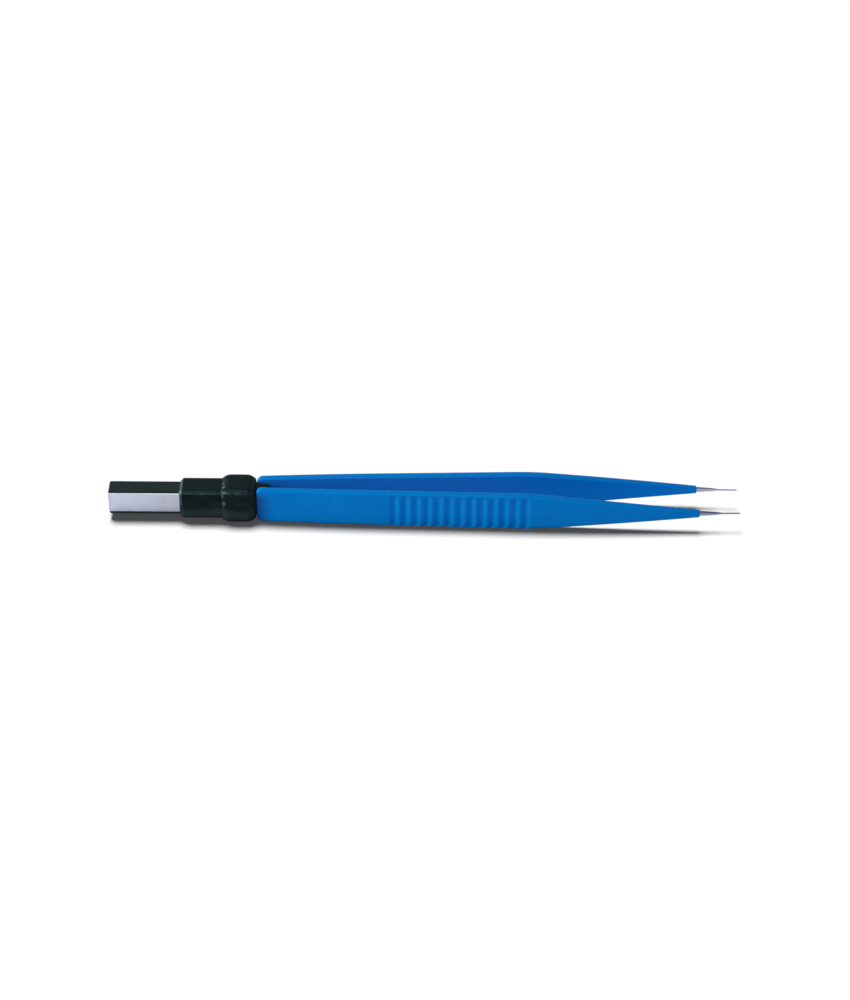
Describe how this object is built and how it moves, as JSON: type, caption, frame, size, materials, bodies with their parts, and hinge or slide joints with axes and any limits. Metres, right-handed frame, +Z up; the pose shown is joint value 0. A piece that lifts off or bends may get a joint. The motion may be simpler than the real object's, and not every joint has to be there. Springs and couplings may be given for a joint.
{
  "type": "bipolar forceps",
  "caption": "Slim tweezer-like surgical forceps: two insulated spring arms with grip waves and bare fine points, held in a flat two-pole plug.",
  "frame": {"origin": "centre of the footprint, on the surface that the forceps lies on", "axes": "+X from the plug to the tips along the instrument, +Z up across the arms' broad faces, +Y towards the left arm"},
  "size_m": [0.165, 0.0128, 0.0106],
  "materials": {
    "moulding": "semi-gloss black moulding",
    "collar": "semi-gloss black sleeve",
    "seal": "matt black filling",
    "steel": "satin",
    "insulation": "semi-gloss blue coat",
    "contact": "satin nickel plate",
    "rivet": "nickel-plated"
  },
  "bodies": {
    "plug": {"plug_body": "moulding", "collar": "collar", "mouth_seal": "seal", "left_contact_plate": "contact", "right_contact_plate": "contact", "left_rivet": "rivet", "right_rivet": "rivet"},
    "left_arm": {"left_tine": "steel", "left_insulation": "insulation"},
    "right_arm": {"right_tine": "steel", "right_insulation": "insulation"}
  },
  "joints": [
    {"name": "left_squeeze", "type": "hinge", "parent": "plug", "child": "left_arm", "pos_m": [-0.0473, 0.00205, 0.0053], "axis": [0, 0, -1], "range_deg": [0, 2.25], "stiffness_Nm_per_rad": 2},
    {"name": "right_squeeze", "type": "hinge", "parent": "plug", "child": "right_arm", "pos_m": [-0.0473, -0.00205, 0.0053], "axis": [0, 0, 1], "range_deg": [0, 2.25], "stiffness_Nm_per_rad": 2}
  ]
}
